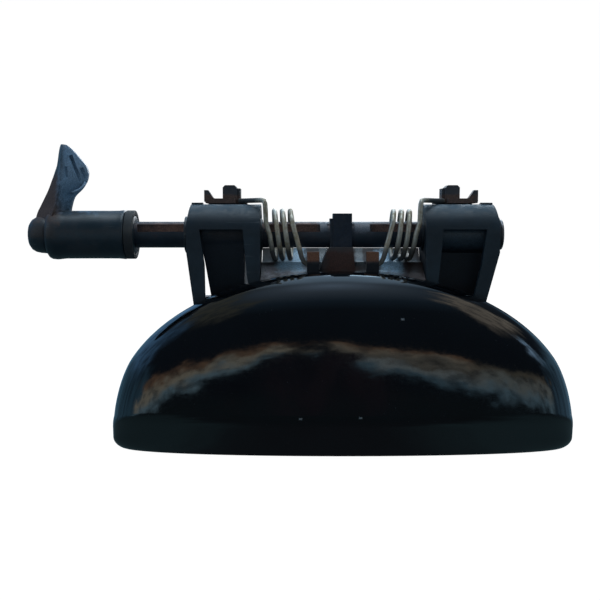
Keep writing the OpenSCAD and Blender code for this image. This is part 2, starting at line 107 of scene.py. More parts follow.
class Nodes:
    """Short hand for building a node tree."""

    def __init__(self, tree):
        self.tree = tree
        tree.nodes.clear()

    def add(self, kind, **values):
        node = self.tree.nodes.new(kind)
        for key, value in values.items():
            if key in node.inputs:
                node.inputs[key].default_value = value
            else:
                setattr(node, key, value)
        return node

    def link(self, source, target):
        self.tree.links.new(source, target)

    def mix(self, factor, a, b, blend="MIX"):
        node = self.add("ShaderNodeMix", data_type="RGBA", blend_type=blend)
        for socket, value in ((node.inputs[0], factor), (node.inputs[6], a), (node.inputs[7], b)):
            if isinstance(value, bpy.types.NodeSocket):
                self.link(value, socket)
            elif isinstance(value, (int, float)):
                socket.default_value = value
            else:
                socket.default_value = (*value, 1)
        return node.outputs[2]

    def math(self, operation, a, b=0.0, clamp=False):
        node = self.add("ShaderNodeMath", operation=operation, use_clamp=clamp)
        for socket, value in ((node.inputs[0], a), (node.inputs[1], b)):
            if isinstance(value, bpy.types.NodeSocket):
                self.link(value, socket)
            else:
                socket.default_value = value
        return node.outputs[0]

    def remap(self, value, low, high, to_low=0.0, to_high=1.0, linear=False):
        node = self.add("ShaderNodeMapRange", interpolation_type="LINEAR" if linear else "SMOOTHSTEP")
        self.link(value, node.inputs[0])
        for index, number in enumerate((low, high, to_low, to_high), start=1):
            node.inputs[index].default_value = number
        return node.outputs[0]

    def noise(self, vector, scale, detail=4.0, rough=0.55):
        node = self.add("ShaderNodeTexNoise", Scale=scale, Detail=detail, Roughness=rough)
        self.link(vector, node.inputs["Vector"])
        return node.outputs[0]


def make_stage():
    """Pale floor that sweeps up into a backdrop all round.

    Only the camera sees it, so the object mirrors the world beyond it.
    """
    mesh = bpy.data.meshes.new("floor")
    bm = bmesh.new()
    flat, bend, rings, sides = 1.6, 1.2, 14, 96
    profile = [(0.0, 0.0), (flat, 0.0)]
    profile += [(flat + bend * math.sin(a), bend * (1 - math.cos(a)))
                for a in [math.pi / 2 * i / rings for i in range(1, rings + 1)]]
    profile.append((flat + bend, 3.0))
    rows = []
    for radius, height in profile[1:]:
        rows.append([bm.verts.new((radius * math.cos(2 * math.pi * k / sides),
                                   radius * math.sin(2 * math.pi * k / sides),
                                   FLOOR_Z + height)) for k in range(sides)])
    centre = bm.verts.new((0, 0, FLOOR_Z))
    for k in range(sides):
        bm.faces.new((centre, rows[0][k], rows[0][(k + 1) % sides]))
        for a, b in zip(rows, rows[1:]):
            bm.faces.new((a[k], b[k], b[(k + 1) % sides], a[(k + 1) % sides]))
    bm.to_mesh(mesh)
    bm.free()
    for polygon in mesh.polygons:
        polygon.use_smooth = True
    floor = bpy.data.objects.new("floor", mesh)
    bpy.context.scene.collection.objects.link(floor)

    material = bpy.data.materials.new("floor")
    material.use_nodes = True
    n = Nodes(material.node_tree)
    pale = n.add("ShaderNodeBsdfDiffuse", Color=(0.9, 0.9, 0.9, 1))
    glow = n.add("ShaderNodeEmission", Color=(1, 1, 1, 1), Strength=1.07)
    shown = n.add("ShaderNodeMixShader", Fac=0.93)
    n.link(pale.outputs[0], shown.inputs[1])
    n.link(glow.outputs[0], shown.inputs[2])
    unseen = n.add("ShaderNodeBsdfTransparent")
    path = n.add("ShaderNodeLightPath")
    chosen = n.add("ShaderNodeMixShader")
    n.link(path.outputs["Is Camera Ray"], chosen.inputs[0])
    n.link(unseen.outputs[0], chosen.inputs[1])
    n.link(shown.outputs[0], chosen.inputs[2])
    out = n.add("ShaderNodeOutputMaterial")
    n.link(chosen.outputs[0], out.inputs[0])
    mesh.materials.append(material)


# Room from straight down (0) to straight up (1)
SKY = [
    (0.0, (0.035, 0.040, 0.050)), (0.46, (0.035, 0.050, 0.060)), (0.50, (0.026, 0.034, 0.048)),
    (0.78, (0.035, 0.050, 0.070)), (0.84, (0.07, 0.12, 0.18)), (0.93, (0.28, 0.38, 0.50)),
    (1.0, (0.60, 0.84, 1.15)),
]
# Bands of the surroundings at eye level: from and to (azimuth, elevation, half height) in
# degrees, then the colours at the lower edge, in the middle and at the upper edge.
BANDS = [
    ((-66, -4, 10.5), (-9, 18.5, 4.6), (0.50, 0.82, 1.02), (1.05, 0.98, 0.78), (0.62, 0.38, 0.24)),
    ((-3, 19.5, 2.8), (34, 11, 3.6), (0.58, 0.56, 0.48), (0.86, 0.74, 0.58), (0.62, 0.38, 0.24)),
    ((5, 12.5, 5.0), (38, -1, 5.0), (0.26, 0.48, 0.64), (0.78, 0.92, 0.96), (0.44, 0.42, 0.36)),
    ((30, 5, 7.0), (73, 1, 9), (0.42, 0.72, 0.92), (0.62, 0.70, 0.68), (0.40, 0.36, 0.28)),
]
# Patches: azimuth from and to, elevation from and to, softness, colour, whether streaked
PATCHES = [
    ((-170, -74), (12, 46), 10, (0.22, 0.50, 0.90), True),
    ((-170, -60), (-16, 14), 8, (0.12, 0.28, 0.42), True),
    ((66, 116), (38, 63), 5, (0.82, 0.74, 0.62), True),
    ((-172, -46), (47, 66), 5, (0.22, 0.23, 0.19), True),
    ((76, 85), (17, 34), 3, (1.0, 1.6, 2.3), True),
    ((76, 150), (-12, 22), 6, (0.15, 0.30, 0.44), True),
    ((-13, 13), (-12, 15), 6, (0.060, 0.050, 0.066), True),
    ((-178, -36), (-72, -16), 10, (0.065, 0.115, 0.135), False),
    ((42, 178), (-72, -16), 10, (0.065, 0.115, 0.135), False),
]

# Glow and window behind the object: azimuth about straight back from and to, its softness,
# elevation from and to, its softness, colour
WINDOWS_BEHIND = [
    (-34, 44, 16, 46, 78, 6, (0.56, 0.82, 1.10)),
    (0, 14, 2, 30, 51, 3, (3.2, 4.6, 5.8)),
]


def make_world():
    """Dim room: grey-blue overhead, a pale window behind, broken brown and grey bands at eye level."""
    world = bpy.data.worlds.new("studio")
    bpy.context.scene.world = world
    world.use_nodes = True
    n = Nodes(world.node_tree)
    direction = n.add("ShaderNodeTexCoord").outputs["Generated"]
    split = n.add("ShaderNodeSeparateXYZ")
    n.link(direction, split.inputs[0])
    x, y, height = split.outputs
    degrees = 180 / math.pi
    azimuth_about_back = n.math("MULTIPLY", n.math("ARCTAN2", x, y), degrees)
    flat_azimuth = n.math("MULTIPLY", n.math("ARCTAN2", x, n.math("MULTIPLY", y, -1)), degrees)
    flat_elevation = n.math("MULTIPLY", n.math("ARCSINE", height), degrees)

    def ragged(angle, scale, reach):
        """Angle pushed to and fro by noise, so that the patches get uneven edges."""
        push = n.math("SUBTRACT", n.noise(direction, scale, 5, 0.6), 0.5)
        return n.math("ADD", angle, n.math("MULTIPLY", push, reach))

    azimuth = ragged(flat_azimuth, 5.5, 34)
    elevation = ragged(flat_elevation, 7.5, 17)

    ramp = n.add("ShaderNodeValToRGB")
    elements = ramp.color_ramp.elements
    while len(elements) < len(SKY):
        elements.new(0.5)
    for element, (position, colour) in zip(elements, SKY):
        element.position = position
        element.color = (*colour, 1)
    n.link(n.remap(flat_elevation, -90, 90, linear=True), ramp.inputs[0])
    colour = ramp.outputs[0]

    def window(value, low, high, soft):
        return n.math("MULTIPLY", n.remap(value, low - soft, low + soft),
                      n.remap(value, high + soft, high - soft))

    streaks = n.add("ShaderNodeTexNoise", Scale=1.0, Detail=3.0)
    stretched = n.add("ShaderNodeMapping")
    stretched.inputs["Scale"].default_value = (16, 16, 2.5)
    n.link(direction, stretched.inputs[0])
    n.link(stretched.outputs[0], streaks.inputs["Vector"])
    streaked = n.remap(streaks.outputs[0], 0.35, 0.62, 0.35, 1.15)
    for (az_a, az_b), (el_a, el_b), soft, tint, is_streaked in PATCHES:
        mask = n.math("MULTIPLY", window(azimuth, az_a, az_b, soft), window(elevation, el_a, el_b, soft))
        if is_streaked:
            mask = n.math("MULTIPLY", mask, streaked, clamp=True)
        colour = n.mix(mask, colour, tint)
    patchy = n.remap(n.noise(direction, 13, 6, 0.62), 0.36, 0.58, 0.35, 1.1)
    for (az_a, el_a, half_a), (az_b, el_b, half_b), low_tint, middle_tint, high_tint in BANDS:
        along = n.remap(azimuth, az_a, az_b, linear=True)
        centre = n.math("ADD", n.math("MULTIPLY", along, el_b - el_a), el_a)
        half = n.math("ADD", n.math("MULTIPLY", along, half_b - half_a), half_a)
        across = n.math("DIVIDE", n.math("SUBTRACT", elevation, centre), half)
        mask = n.math("MULTIPLY", window(azimuth, az_a, az_b, 3), window(across, -1, 1, 0.3))
        tint = n.mix(n.remap(across, -0.75, 0.1), low_tint, middle_tint)
        tint = n.mix(n.remap(across, 0.2, 0.8), tint, high_tint)
        colour = n.mix(n.math("MULTIPLY", mask, patchy, clamp=True), colour, tint)
    for az_a, az_b, az_soft, el_a, el_b, el_soft, tint in WINDOWS_BEHIND:
        mask = n.math("MULTIPLY", window(azimuth_about_back, az_a, az_b, az_soft),
                      window(flat_elevation, el_a, el_b, el_soft))
        colour = n.mix(mask, colour, tint)
    background = n.add("ShaderNodeBackground", Strength=1.0)
    n.link(colour, background.inputs[0])
    out = n.add("ShaderNodeOutputWorld")
    n.link(background.outputs[0], out.inputs[0])


# Soft lights: name, place and aim in millimetres about the hinge, size in metres, watts, colour
LIGHTS = [
    ("overhead", (-20, 60, 620), (0, 0, -20), (0.5, 0.4), 2.4, (0.76, 0.90, 1.0)),
    ("left_window", (-600, -300, 260), (-20, 0, -20), (0.3, 0.4), 0.6, (0.72, 0.86, 1.0)),
    ("right_fill", (560, -320, 260), (20, 0, -20), (0.3, 0.35), 0.45, (0.85, 0.93, 1.0)),
    ("front_fill", (-60, -620, -60), (-20, 0, -20), (0.6, 0.3), 0.2, (0.55, 0.80, 1.0)),
    ("back_fill", (120, 640, 260), (-20, 0, -20), (0.6, 0.4), 3.0, (0.90, 0.95, 1.0)),
]


def area_light(name, place, aim, size, power, colour):
    data = bpy.data.lights.new(name, "AREA")
    data.shape = "RECTANGLE"
    data.size, data.size_y = size
    data.energy = power
    data.color = colour
    light = bpy.data.objects.new(name, data)
    bpy.context.scene.collection.objects.link(light)
    light.location = at(*place)
    light.rotation_euler = (at(*aim) - light.location).to_track_quat("-Z", "Y").to_euler()
    return light


def make_lights(dark_pieces):
    """Soft light from above and all sides; the lacquered pieces only mirror the room."""
    spared = bpy.data.collections.new("mirrors only the room")
    for piece in dark_pieces:
        spared.objects.link(piece)
    for item in spared.collection_objects:
        item.light_linking.link_state = "EXCLUDE"
    for name, place, aim, size, power, colour in LIGHTS:
        light = area_light(name, place, aim, size, power, colour)
        light.light_linking.receiver_collection = spared


# ---------------------------------------------------------------- materials

def zone_mask(n, coords, centre, half, wobble, soft=0.35):
    """1 inside a box given in millimetres about the hinge axis, with a ragged edge."""
    shift = n.add("ShaderNodeVectorMath", operation="SUBTRACT")
    n.link(coords, shift.inputs[0])
    shift.inputs[1].default_value = at(*centre)
    ratio = n.add("ShaderNodeVectorMath", operation="DIVIDE")
    n.link(shift.outputs[0], ratio.inputs[0])
    ratio.inputs[1].default_value = [h * MM for h in half]
    size = n.add("ShaderNodeVectorMath", operation="ABSOLUTE")
    n.link(ratio.outputs[0], size.inputs[0])
    split = n.add("ShaderNodeSeparateXYZ")
    n.link(size.outputs[0], split.inputs[0])
    far = n.math("MAXIMUM", n.math("MAXIMUM", split.outputs[0], split.outputs[1]), split.outputs[2])
    return n.remap(n.math("ADD", far, wobble), 1 + soft, 1 - soft)


def surface(name, base, roughness, dust=0.0, dust_colour=(0.2, 0.22, 0.24), grime=0.0,
            grime_colour=(0.05, 0.025, 0.015), grain=0.0, scratches=0.0, metallic=0.0, scale=1.0,
            zones=()):
    """Used plastic or metal: mottled base, grime in patches, dust on what faces up, fine grain.

    zones: (centre, half size, colour, strength, roughness) of dirty places, of painted shade and
    of painted highlights, in millimetres about the hinge axis.
    """
    material = bpy.data.materials.new(name)
    material.use_nodes = True
    n = Nodes(material.node_tree)
    coords = n.add("ShaderNodeTexCoord").outputs["Object"]
    large = n.noise(coords, 90 * scale, 5)
    medium = n.noise(coords, 420 * scale, 6, 0.65)
    fine = n.noise(coords, 2600 * scale, 3)
    colour = n.mix(n.remap(large, 0.35, 0.7), [c * 0.78 for c in base], [c * 1.25 for c in base])
    facing = n.add("ShaderNodeSeparateXYZ")
    n.link(n.add("ShaderNodeNewGeometry").outputs["Normal"], facing.inputs[0])
    rough = n.remap(medium, 0.3, 0.75, roughness * 0.85, min(1.0, roughness * 1.2))
    if grime:
        spread = n.math("ADD", large, n.math("MULTIPLY", medium, 0.5))
        patch = n.math("MULTIPLY", n.remap(spread, 0.62, 0.92), grime)
        colour = n.mix(patch, colour, grime_colour)
        rough = n.math("MAXIMUM", rough, n.math("MULTIPLY", patch, 0.85))
    if dust:
        up = n.remap(facing.outputs[2], 0.5, 1.0)
        cover = n.math("MULTIPLY", n.math("MULTIPLY", up, n.remap(medium, 0.38, 0.68, 0.3, 1.0)), dust)
        colour = n.mix(cover, colour, dust_colour)
        rough = n.math("ADD", rough, n.math("MULTIPLY", cover, 0.35), clamp=True)
    wobble = n.math("MULTIPLY", n.math("SUBTRACT", medium, 0.5), 1.1)
    for centre, half, tint, strength, sheen in zones:
        mask = n.math("MULTIPLY", zone_mask(n, coords, centre, half, wobble), strength)
        # Zone colour: dirt, and in some zones painted shade and painted highlights.
        stain_and_painted_light = n.mix(n.remap(fine, 0.35, 0.65), [c * 0.72 for c in tint], [c * 1.2 for c in tint])
        colour = n.mix(mask, colour, stain_and_painted_light)
        rough = n.mix(mask, rough, (sheen, sheen, sheen))
    if scratches:
        stretch = n.add("ShaderNodeMapping")
        stretch.inputs["Scale"].default_value = (60, 1400, 900)
        stretch.inputs["Rotation"].default_value = (0.3, 0.5, 0.4)
        n.link(coords, stretch.inputs[0])
        lines = n.remap(n.noise(stretch.outputs[0], 1.0, 2), 0.66, 0.74)
        colour = n.mix(n.math("MULTIPLY", lines, scratches), colour, (0.16, 0.18, 0.2))
    shader = n.add("ShaderNodeBsdfPrincipled", Metallic=metallic)
    shader.inputs["Specular IOR Level"].default_value = 0.33
    n.link(colour, shader.inputs["Base Color"])
    n.link(rough, shader.inputs["Roughness"])
    bump = n.add("ShaderNodeBump", Strength=0.25 + grain, Distance=0.00012)
    n.link(n.math("ADD", n.math("MULTIPLY", fine, 0.4 + grain), medium), bump.inputs["Height"])
    n.link(bump.outputs[0], shader.inputs["Normal"])
    out = n.add("ShaderNodeOutputMaterial")
    n.link(shader.outputs[0], out.inputs[0])
    return material


WHITE_SPECKS = [(-14.3, -34, -57.6), (4.6, -34, -57.2), (18.2, -27, -26.5)]


def lacquer(name):
    """Deep gloss black lacquer with faint blue, a little dust and a few painted highlight glints along
    its top edge.
    """
    material = bpy.data.materials.new(name)
    material.use_nodes = True
    n = Nodes(material.node_tree)
    coords = n.add("ShaderNodeTexCoord").outputs["Object"]
    large = n.noise(coords, 60, 4)
    fine = n.noise(coords, 900, 4)
    dot = n.noise(coords, 1500, 2, 0.4)
    colour = n.mix(n.remap(large, 0.3, 0.7), (0.0016, 0.0026, 0.0042), (0.003, 0.005, 0.0075))
    colour = n.mix(n.math("MULTIPLY", n.remap(dot, 0.75, 0.79), 0.3), colour, (0.12, 0.14, 0.16))
    # Painted highlight: pale blue-white flecks along the cover's top edge.
    painted_top_edge_glints = n.math("MULTIPLY", n.remap(n.noise(coords, 1000, 1, 0.3), 0.54, 0.6),
                   zone_mask(n, coords, (21, -13.5, -13.2), (4.0, 2.5, 1.1), 0.0))
    colour = n.mix(painted_top_edge_glints, colour, (0.55, 0.6, 0.65))
    for place in WHITE_SPECKS:
        colour = n.mix(zone_mask(n, coords, place, (0.5, 3, 0.3), 0.0, 0.5), colour, (0.3, 0.33, 0.36))
    shader = n.add("ShaderNodeBsdfPrincipled", IOR=1.5)
    shader.inputs["Coat Weight"].default_value = 0.5
    shader.inputs["Coat Roughness"].default_value = 0.03
    shader.inputs["Coat IOR"].default_value = 1.5
    n.link(colour, shader.inputs["Base Color"])
    n.link(n.remap(fine, 0.3, 0.75, 0.06, 0.14), shader.inputs["Roughness"])
    bump = n.add("ShaderNodeBump", Strength=0.05, Distance=0.0004)
    n.link(n.noise(coords, 160, 3), bump.inputs["Height"])
    n.link(bump.outputs[0], shader.inputs["Normal"])
    out = n.add("ShaderNodeOutputMaterial")
    n.link(shader.outputs[0], out.inputs[0])
    return material


SLATE = (0.008, 0.019, 0.030)
BROWN = (0.075, 0.038, 0.026)
# Grease on the ledge, also painted highlight: pale blue where the ledge catches the light from above.
GREASE_AND_HIGHLIGHT = (0.34, 0.52, 0.68)
BLACK = (0.007, 0.010, 0.016)
# Dust on the arms' up-faces, also painted top light: the pale blue of the roll tops lit from above.
DUST_AND_TOP_LIGHT = (0.058, 0.095, 0.125)
SIDES = (-1, 1)

M = {
    "gloss_black": lacquer("gloss_black"),
    "slate_plastic": surface(
        "slate_plastic", SLATE, 0.5, dust=0.75, dust_colour=DUST_AND_TOP_LIGHT, scratches=0.25,
        # Painted shade: the arms' fronts darker low down, just above the flap; also darker strips down
        # the arms' inner sides.
        zones=[((s * 40, -10, -30), (14, 8, 9), (0.004, 0.009, 0.016), 0.85, 0.6) for s in SIDES]
        + [((s * 28, 0, -16), (1.5, 9, 14), (0.006, 0.011, 0.020), 0.7, 0.7) for s in SIDES]),
    "lever_plastic": surface(
        "lever_plastic", (0.015, 0.029, 0.041), 0.36, dust=0.12, grime=0.2,
        dust_colour=(0.032, 0.046, 0.06), scratches=0.15,
        zones=[((-102, 0, 13), (5.0, 9, 8), (0.075, 0.042, 0.032), 0.9, 0.7),
               # Painted light: the blade's inner face is pale blue, as if lit by the room.
               ((-91, 0, 21), (5.8, 9, 11), (0.15, 0.25, 0.37), 0.9, 0.45),
               ((-98, 0, 29), (2.2, 9, 6), (0.035, 0.050, 0.066), 0.6, 0.5),
               ((-103, -6, 1), (5.5, 8, 2.0), (0.04, 0.028, 0.024), 0.5, 0.7)]),
    "carrier_plastic": surface(
        "carrier_plastic", (0.040, 0.040, 0.045), 0.6, dust=0.2, grime=0.4,
        dust_colour=(0.10, 0.10, 0.11), grime_colour=BROWN,
        # Ledge: the light grey and pale blue patches are grease with painted highlight, where the
        # sloping ledge catches light from above.
        zones=[((-19.5, 0, -13), (8.5, 9, 2.4), (0.26, 0.25, 0.27), 0.9, 0.6),
               ((-17.6, 2, -8.6), (4.6, 9, 3.6), GREASE_AND_HIGHLIGHT, 1.0, 0.32),
               ((17.4, 2, -9.4), (4.4, 9, 3.6), GREASE_AND_HIGHLIGHT, 0.95, 0.32),
               ((25, 3, -9), (4.4, 14, 7), (0.026, 0.013, 0.012), 0.95, 0.6),
               ((-25.6, 4, -7), (3.2, 9, 3.4), (0.03, 0.024, 0.022), 0.8, 0.6),
               ((6.5, 4, -7), (1.3, 9, 3.4), (0.15, 0.17, 0.18), 0.8, 0.4),
               ((-6.4, 4, -7), (1.3, 9, 3.4), (0.15, 0.17, 0.18), 0.8, 0.4),
               ((0, -6.5, -9), (6.0, 3, 3.4), (0.052, 0.022, 0.017), 0.9, 0.7)]
        # Posts: brown dust on the heads, brightened as painted light on their lit tops; near-black
        # painted shadow in the notch below.
        + [((s * 10, -9.5, -7.2), (2.6, 3, 1.7), (0.17, 0.075, 0.045), 1.0, 0.7) for s in SIDES]
        + [((s * 10, -9.5, -11.6), (2.8, 3, 2.4), (0.002, 0.004, 0.009), 1.0, 0.7) for s in SIDES]),
    "frame_plastic": surface(
        "frame_plastic", (0.040, 0.046, 0.058), 0.6, dust=0.3, grime=0.3, dust_colour=(0.09, 0.10, 0.12),
        grime_colour=(0.05, 0.032, 0.026),
        zones=[((s * 40, 6, 12.2), (9, 8, 1.7), (0.10, 0.062, 0.05), 0.85, 0.75) for s in SIDES]
        # Painted shade: near-black inside the arms' windows, and a painted shadow line under the left
        # window's top edge.
        + [((s * 41, -3, -10), (9, 9, 13), (0.004, 0.010, 0.019), 0.97, 0.6) for s in SIDES]
        + [((-39, -6, 0.5), (6, 4, 2.2), (0.012, 0.011, 0.014), 0.6, 0.6),
           ((41, -6.5, 0.2), (9, 3, 4.6), (0.030, 0.048, 0.068), 0.9, 0.35)]),
    "shaft_plastic": surface(
        "shaft_plastic", (0.014, 0.026, 0.042), 0.5, dust=0.12, grime=0.25,
        dust_colour=(0.06, 0.06, 0.07), grime_colour=BROWN,
        zones=[((-40, -1.5, 2.4), (28, 2.0, 1.4), (0.24, 0.145, 0.12), 1.0, 0.75),
               ((0, -1.5, 2.4), (26, 2.0, 1.4), (0.20, 0.125, 0.11), 1.0, 0.75),
               ((6.8, 0, 3.0), (3.2, 6, 2.2), (0.08, 0.095, 0.12), 0.85, 0.5),
               ((-6.4, 0, 3.4), (1.9, 6, 2.0), (0.08, 0.095, 0.12), 0.85, 0.5),
               ((0.2, 0, 1), (3.6, 6, 7), (0.003, 0.010, 0.024), 1.0, 0.5)]),
    "liner_plastic": surface("liner_plastic", (0.018, 0.018, 0.02), 0.6, grain=0.6, dust=0.3),
    "bush_plastic": surface("bush_plastic", (0.022, 0.030, 0.038), 0.45, dust=0.3, scratches=0.3),
    "ring_plastic": surface("ring_plastic", (0.030, 0.034, 0.038), 0.75, dust=0.7, grime=0.6,
                            dust_colour=(0.12, 0.12, 0.12), grime_colour=(0.07, 0.065, 0.06)),
    "seal_rubber": surface("seal_rubber", (0.015, 0.015, 0.016), 0.85, dust=0.4),
    "zinc_steel": surface("zinc_steel", (0.55, 0.55, 0.53), 0.35, metallic=1.0, grime=0.3),
    "clip_steel": surface("clip_steel", (0.18, 0.18, 0.19), 0.45, metallic=1.0, grime=0.4),
    "spring_steel": surface(
        "spring_steel", (0.43, 0.41, 0.36), 0.45, metallic=0.5, grime=0.8,
        grime_colour=(0.19, 0.145, 0.08), scale=1.6,
        zones=[((s * 20, -6, -8), (9, 6, 3.4), (0.035, 0.040, 0.05), 0.75, 0.6) for s in SIDES]
        + [((s * 32, -1, 11.6), (5.4, 5, 2), (0.04, 0.042, 0.046), 0.93, 0.6) for s in SIDES]),
    "insert_brass": surface("insert_brass", (0.6, 0.44, 0.2), 0.35, metallic=1.0, grime=0.2),
    "washer_nylon": surface("washer_nylon", (0.4, 0.38, 0.33), 0.5, grime=0.5),
}


# ---------------------------------------------------------------- mesh helpers

def mesh_object(name, verts, faces, material, body, slot, smooth=True):
    mesh = bpy.data.meshes.new(name)
    mesh.from_pydata([tuple(v) for v in verts], [], faces)
    mesh.validate()
    bm = bmesh.new()
    bm.from_mesh(mesh)
    bmesh.ops.remove_doubles(bm, verts=bm.verts, dist=1e-6)
    bmesh.ops.recalc_face_normals(bm, faces=bm.faces)
    bm.to_mesh(mesh)
    bm.free()
    for polygon in mesh.polygons:
        polygon.use_smooth = smooth
    mesh.materials.append(M[material])
    piece = bpy.data.objects.new(name, mesh)
    bpy.context.scene.collection.objects.link(piece)
    if body:
        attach(piece, body)
    return piece


def grid_faces(rows, cols, closed=False):
    """Quads of a grid of rows x cols points; closed joins the last column to the first."""
    span = cols if closed else cols - 1
    corners = [(r * cols + c, r * cols + (c + 1) % cols) for r in range(rows - 1) for c in range(span)]
    return [(a, b, b + cols, a + cols) for a, b in corners]


def tube_faces(rings, sides):
    """Quads of a closed tube of rings x sides points, with an end face at either end."""
    last = rings * sides - 1
    ends = [tuple(range(sides)), tuple(range(last, last - sides, -1))]
    return grid_faces(rings, sides, closed=True) + ends


def round_edges(piece, width_mm, segments, sharper_than_deg):
    edge = piece.modifiers.new("edge", "BEVEL")
    edge.width = width_mm * MM
    edge.segments = segments
    edge.limit_method = "ANGLE"
    edge.angle_limit = math.radians(sharper_than_deg)
    edge.use_clamp_overlap = True


def even_normals(piece):
    even = piece.modifiers.new("even", "WEIGHTED_NORMAL")
    even.keep_sharp = True


def apply_modifiers(piece):
    """Bakes a piece's modifiers into its mesh."""
    bpy.context.view_layer.update()
    depsgraph = bpy.context.evaluated_depsgraph_get()
    mesh = bpy.data.meshes.new_from_object(piece.evaluated_get(depsgraph))
    piece.modifiers.clear()
    piece.data = mesh


# ---------------------------------------------------------------- flap cover

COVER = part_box("flap_cover")
HALF_W = (COVER[1].x - COVER[0].x) / 2 / MM
RIM_Y = -12.0
COVER_T = 2.4
WIDEST_Z = -63.0
CREASE_Z = -56.5
TOP_Z = -12.0
BOTTOM_Z = (COVER[0].z - HINGE.z) / MM
CORNER_R = 4.2
BULGE = 22.0
BOTTOM_BULGE = 12.5
CREASE_EASE = 0.26    # share of the tucked-in band over which the crease is rounded
ROUNDNESS = 0.86      # below 1, the front of a level cut is fuller than an ellipse


def cover_width(z):
    if z >= WIDEST_Z:
        rise = (z - WIDEST_Z) / (TOP_Z - WIDEST_Z)
        return HALF_W * max(0.0, 1 - rise ** 2.06) ** 0.487
    into_corner = max(0.0, BOTTOM_Z + CORNER_R - z) / CORNER_R
    return HALF_W - CORNER_R * (1 - math.sqrt(max(0.0, 1 - into_corner ** 2)))


def cover_depth(z):
    if z >= CREASE_Z:
        rise = (z - CREASE_Z) / (TOP_Z - CREASE_Z)
        return BULGE * max(0.0, 1 - rise ** 2.2) ** 0.47
    fall = (CREASE_Z - z) / (CREASE_Z - BOTTOM_Z)
    eased = fall ** 2 / (2 * CREASE_EASE) if fall < CREASE_EASE else fall - CREASE_EASE / 2
    return BULGE + (BOTTOM_BULGE - BULGE) * eased / (1 - CREASE_EASE / 2)


def cover_row(z, width, depth, cols, droop=0.0):
    """Level cut of the cover from its right rim round the front to its left rim.

    droop lowers the row's two ends, where the crease runs down towards the rim.
    """
    row = []
    for c in range(cols + 1):
        a = math.pi * c / cols
        row.append(at(width * math.cos(a), RIM_Y - depth * math.sin(a) ** ROUNDNESS,
                      z - droop * (1 - math.sin(a)) ** 2))
    return row


def make_flap_cover():
    dome, skirt, floor, cols = 64, 26, 8, 120
    crease_droop, crease_reach = 5.0, 15.0
    heights = [TOP_Z + (CREASE_Z - TOP_Z) * (1 - math.cos(math.pi / 2 * i / dome))
               for i in range(1, dome)]
    heights += [CREASE_Z + (BOTTOM_Z - CREASE_Z) * (1 - math.cos(math.pi * i / skirt)) / 2
                for i in range(skirt + 1)]
    verts = [at(0, RIM_Y, TOP_Z)] * (cols + 1)
    for z in heights:
        near_crease = max(0.0, 1 - abs(z - CREASE_Z) / crease_reach)
        verts += cover_row(z, cover_width(z), cover_depth(z), cols, crease_droop * near_crease ** 1.5)
    for i in range(1, floor + 1):
        verts += cover_row(BOTTOM_Z, cover_width(BOTTOM_Z), BOTTOM_BULGE * (1 - i / floor), cols)
    rows = 1 + len(heights) + floor
    faces = grid_faces(rows, cols + 1)
    piece = mesh_object("flap_shell", verts, faces, "gloss_black", "flap", "gloss_black")
    shell = piece.modifiers.new("wall", "SOLIDIFY")
    shell.thickness = COVER_T * MM
    shell.offset = -1
    round_edges(piece, 0.5, 3, 40)
    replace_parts(piece, "flap_cover")
    return piece


# ---------------------------------------------------------------- springs

WIRE_R = 0.85
COIL_R = 8.25
COIL_PITCH = 2.75
COIL_START = 17.9
COIL_LEAN = 1.45
COIL_TURNS = 3
LEG_Z = 11.75


def spring_path(side):
    """Centre line of a return spring from its tail in the frame to its foot in the carrier's post."""
    points = [(35.6, 3.2, LEG_Z), (31, -2.2, LEG_Z), (27.6, -6.6, LEG_Z), (26.6, -7.8, LEG_Z - 0.3),
              (26.3, -COIL_R, LEG_Z - 1.3), (26.15, -COIL_R, 8), (26.0, -COIL_R, 4)]
    steps = 48
    for i in range(steps // 4, COIL_TURNS * steps + steps // 5):
        a = 2 * math.pi * i / steps
        turn = COIL_TURNS - i / steps
        x = COIL_START + COIL_PITCH * turn - COIL_LEAN * (1 - math.cos(a)) / 2
        points.append((x, -COIL_R * math.sin(a), COIL_R * math.cos(a)))
    points += [(13.9, -8.3, -7.6), (13.1, -8.2, -9.2), (12.0, -8, -10), (10.6, -8, -10)]
    return [at(side * x, y, z) for x, y, z in points]


def sweep(points, radius, sides):
    """Tube round a polyline, with frames carried along it, and closed ends."""
    verts = []
    normal = None
    for i, p in enumerate(points):
        tangent = (points[min(i + 1, len(points) - 1)] - points[max(i - 1, 0)]).normalized()
        if normal is None:
            normal = tangent.orthogonal().normalized()
        normal = (normal - tangent * normal.dot(tangent)).normalized()
        other = tangent.cross(normal)
        verts += [p + radius * (math.cos(2 * math.pi * k / sides) * normal
                                + math.sin(2 * math.pi * k / sides) * other) for k in range(sides)]
    return verts, tube_faces(len(points), sides)


def make_springs():
    for side, name in ((-1, "left"), (1, "right")):
        verts, faces = sweep(spring_path(side), WIRE_R * MM, 14)
        piece = mesh_object(f"{name}_spring_wire", verts, faces, "spring_steel", None, "spring_steel")
        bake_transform(piece)
        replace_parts(piece, f"{name}_return_spring")


# ---------------------------------------------------------------- release lever

def lathe(profile, sides=72):
    """Solid of revolution about the hinge axis from (x, radius) pairs in millimetres."""
    verts = [at(x, r * math.cos(2 * math.pi * k / sides), r * math.sin(2 * math.pi * k / sides))
             for x, r in profile for k in range(sides)]
    return verts, tube_faces(len(profile), sides)


